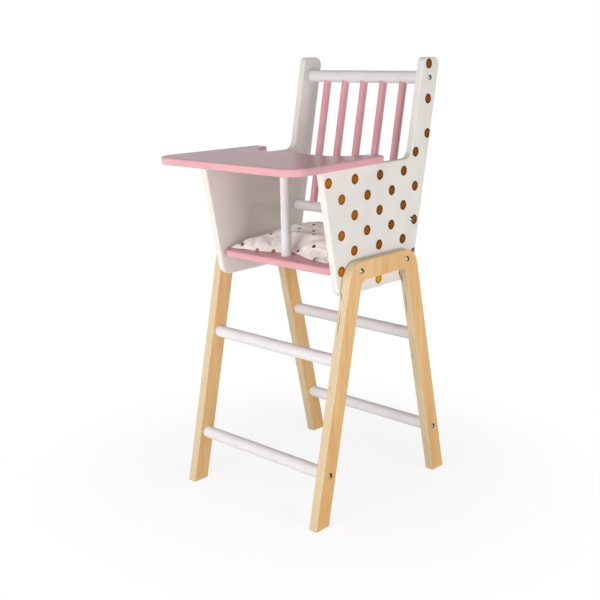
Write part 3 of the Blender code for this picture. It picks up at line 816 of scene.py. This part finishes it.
def fold_cloth(mesh, seam_z):
    """Press the folds, ripples and seam puckers into the cushion's upper cloth."""
    folds = [(depth, width, [Vector(point) for point in points])
             for depth, width, points in cushion_folds]
    normals = [vertex.normal.copy() for vertex in mesh.vertices]
    for vertex, normal in zip(mesh.vertices, normals):
        x, y, z = vertex.co
        rise = z - seam_z
        if rise < -cushion_seam_rise / 2:
            continue
        place = Vector((x, y))
        risen_share = max(0.0, min(1.0, rise / cushion_fold_rise))
        sink = 0.0
        for depth, width, points in folds:
            sink += depth * hump(distance_to_path(place, points), 0, width)
        back_share = max(0.0, min(1.0, y / ripple_start))
        bend = noise_of(Vector((x, y, 0.0)) * ripple_bend_scale) * ripple_bend
        turn = math.tau * (y + x * ripple_slant) / ripple_pitch + bend
        sink += ripple_depth * back_share * (1 + math.sin(turn))
        sink *= risen_share
        along = y if abs(normal.x) > abs(normal.y) else x
        wander = noise_of(Vector((
            x * pucker_wander_scale, y * pucker_wander_scale, pucker_wander_layer)))
        pucker = hump(max(rise, 0.0), 0, pucker_reach) * (pucker_base + wander)
        pucker *= min(1.0, max(pucker_least, rise / pucker_fade))
        turn = math.tau * along / pucker_pitch + pucker_wander * wander
        sink += pucker_depth * pucker * (1 + math.sin(turn))
        vertex.co = vertex.co - normal * sink


def draw_out_corners(mesh, low, high):
    """Pull the sewn corners to points, and the front edge forward to the right of the post."""
    for vertex in mesh.vertices:
        x, y, z = vertex.co
        side = math.copysign(1.0, x)
        front_y = low.y if x < 0 else low.y + right_corner_back
        for corner_y, way in ((front_y, -1.0), (high.y, 1.0)):
            corner = Vector((side * high.x, corner_y))
            pull = corner_ear * hump((Vector((x, y)) - corner).length, 0, corner_reach)
            x += side * pull
            y += way * pull
        right_share = max(0.0, min(1.0, (x - front_right_start) / front_right_length))
        y -= front_right_advance * right_share * hump(y, front_y, front_right_reach)
        above_seam = max(0.0, min(1.0, (z - low.z - cushion_seam_rise) / left_crown_fade))
        from_crown = (Vector((x, y)) - Vector(left_crown_place)).length
        z += left_crown * above_seam * hump(from_crown, 0, left_crown_reach)
        z -= rim_droop * hump(z, low.z + cushion_seam_rise, rim_droop_reach)
        vertex.co = (x, y, max(low.z, z))


def stuffed_cushion():
    """Seat cushion: the plain solid's space, filled by cloth under pressure, then folded."""
    source = frame["nodes"]["seat_cushion"]
    low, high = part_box("seat_cushion")
    seam_z = low.z + cushion_seam_rise
    mesh = source.data.copy()
    mesh.name = "seat_cushion_cloth"
    cushion = bpy.data.objects.new("seat_cushion_cloth", mesh)
    bpy.context.scene.collection.objects.link(cushion)
    shape = bmesh.new()
    shape.from_mesh(mesh)
    bmesh.ops.remove_doubles(shape, verts=shape.verts, dist=merge_distance)
    for vertex in shape.verts:
        if vertex.co.z > seam_z:
            vertex.co.z = seam_z + (vertex.co.z - seam_z) * cushion_flat_share
    shape.to_mesh(mesh)
    shape.free()
    remesh = cushion.modifiers.new("cloth grid", "REMESH")
    remesh.mode = "VOXEL"
    remesh.voxel_size = cushion_voxel
    apply_modifier(cushion, remesh)
    seam_top = seam_z + cushion_seam_rise
    pinned = [vertex.index for vertex in cushion.data.vertices
              if abs(vertex.normal.z) < seam_tilt and vertex.co.z < seam_top]
    inflate(cushion, pinned)
    smooth = cushion.modifiers.new("smooth cloth", "SUBSURF")
    smooth.levels = 1
    smooth.render_levels = 1
    apply_modifier(cushion, smooth)
    draw_out_corners(cushion.data, low, high)
    fold_cloth(cushion.data, seam_z)
    for vertex in cushion.data.vertices:
        x, y, z = vertex.co
        limit = high.x + cushion_side_slack
        vertex.co = (max(-limit, min(limit, x)), y, max(low.z, min(z, high.z)))
    cushion.data.shade_smooth()
    cushion.data.materials.clear()
    cushion.data.materials.append(cotton(seam_z))
    return cushion


def dress_nodes():
    """Give every rigid piece the finish of its slot."""
    lacquer = paint_finish(
        "spindle_lacquer", spindle_pink, spindle_pink_worn, spindle_roughness, spindle_gloss)[0]
    finishes = {
        "birch_ply": birch_plywood(),
        "dotted_white_paint": dotted_paint(),
        "white_paint": paint_finish(
            "white_paint", dowel_white, dowel_white_worn, white_roughness, dowel_gloss)[0],
        "pink_paint": paint_finish(
            "pink_paint", board_pink, board_pink_worn, board_roughness, board_gloss)[0],
        "plain_wood": plain_wood(),
        "steel": screw_steel("screw_steel", overall_width / 2),
    }
    rail_steel = screw_steel("rail_screw_steel", panel_face_x)
    for subpart in frame["record"]["subparts"]:
        finish = finishes.get(subpart["material_slot"])
        if "rail_screw" in subpart["node"]:
            finish = rail_steel
        if "spindle" in subpart["node"]:
            finish = lacquer
        if finish:
            node = frame["nodes"][subpart["node"]]
            node.data.materials.clear()
            node.data.materials.append(finish)


def make_camera():
    """Camera at the photograph's place."""
    ahead = Vector((-math.sin(camera_yaw), math.cos(camera_yaw), 0))
    forward = ahead * math.cos(camera_pitch) - Vector((0, 0, math.sin(camera_pitch)))
    level = Vector((math.cos(camera_yaw), math.sin(camera_yaw), 0))
    upright = level.cross(forward)
    right = level * math.cos(camera_roll) + upright * math.sin(camera_roll)
    up = upright * math.cos(camera_roll) - level * math.sin(camera_roll)
    data = bpy.data.cameras.new("camera")
    data.sensor_width = camera_sensor
    data.lens = camera_lens
    data.clip_start = camera_near
    data.clip_end = camera_far
    camera = bpy.data.objects.new("camera", data)
    bpy.context.scene.collection.objects.link(camera)
    turn = Matrix((right, up, -forward)).transposed().to_4x4()
    camera.matrix_world = Matrix.Translation(camera_place) @ turn
    bpy.context.scene.camera = camera


def add_lamp(name, power, place, width, height):
    """Soft rectangular lamp that points at the chair."""
    data = bpy.data.lights.new(name, "AREA")
    data.shape = "RECTANGLE"
    data.energy = power
    data.size = width
    data.size_y = height
    lamp = bpy.data.objects.new(name, data)
    bpy.context.scene.collection.objects.link(lamp)
    lamp.location = place
    lamp.rotation_euler = (Vector(light_aim) - Vector(place)).to_track_quat("-Z", "Y").to_euler()


def seen_directly(tree):
    """1 where the camera sees a surface, straight on or through a reflection."""
    rays = add_node(tree, "ShaderNodeLightPath").outputs
    seen = greater_of(tree, rays["Is Camera Ray"], rays["Is Glossy Ray"])
    return greater_of(tree, seen, rays["Is Transmission Ray"])


def make_world():
    """White surroundings, which light the chair softly."""
    world = bpy.data.worlds.new("surroundings")
    bpy.context.scene.world = world
    world.use_nodes = True
    tree = world.node_tree
    tree.nodes.clear()
    ambient = add_node(tree, "ShaderNodeBackground", {"Color": white, "Strength": ambient_strength})
    plain = add_node(tree, "ShaderNodeBackground", {"Color": white, "Strength": 1.0})
    both = {0: seen_directly(tree), 1: ambient.outputs[0], 2: plain.outputs[0]}
    mix = add_node(tree, "ShaderNodeMixShader", both)
    add_node(tree, "ShaderNodeOutputWorld", {0: mix.outputs[0]})


def make_floor():
    """Pale floor that looks white and keeps the chair's soft shadow."""
    bpy.ops.mesh.primitive_circle_add(vertices=floor_corners, radius=floor_radius, fill_type="NGON")
    floor = bpy.context.object
    floor.name = "floor"
    made = bpy.data.materials.new("floor_white")
    made.use_nodes = True
    tree = made.node_tree
    tree.nodes.clear()
    plain = add_node(tree, "ShaderNodeBsdfDiffuse", {"Color": floor_paint})
    lit = add_node(tree, "ShaderNodeBsdfDiffuse", {"Color": floor_shade})
    glow = add_node(tree, "ShaderNodeEmission", {"Color": white, "Strength": floor_glow})
    near = add_node(tree, "ShaderNodeAddShader", {0: lit.outputs[0], 1: glow.outputs[0]})
    far = add_node(tree, "ShaderNodeEmission", {"Color": white, "Strength": 1.0})
    place = add_node(tree, "ShaderNodeTexCoord").outputs["Object"]
    length = add_node(tree, "ShaderNodeVectorMath", {0: place}, operation="LENGTH")
    distance = spread(tree, length.outputs["Value"], floor_near, floor_far)
    seen = add_node(tree, "ShaderNodeMixShader",
                    {0: distance, 1: near.outputs[0], 2: far.outputs[0]})
    mix = add_node(tree, "ShaderNodeMixShader",
                   {0: seen_directly(tree), 1: plain.outputs[0], 2: seen.outputs[0]})
    add_node(tree, "ShaderNodeOutputMaterial", {0: mix.outputs[0]})
    floor.data.materials.append(made)


bpy.ops.object.select_all(action="DESELECT")
bpy.context.scene.view_settings.view_transform = "Standard"
make_camera()
make_world()
make_floor()
for lamp_name, (lamp_power, lamp_place, lamp_width, lamp_height) in lamps.items():
    add_lamp(lamp_name, lamp_power, lamp_place, lamp_width, lamp_height)
dress_nodes()

cushion = stuffed_cushion()
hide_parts("seat_cushion")
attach(cushion, "cushion")
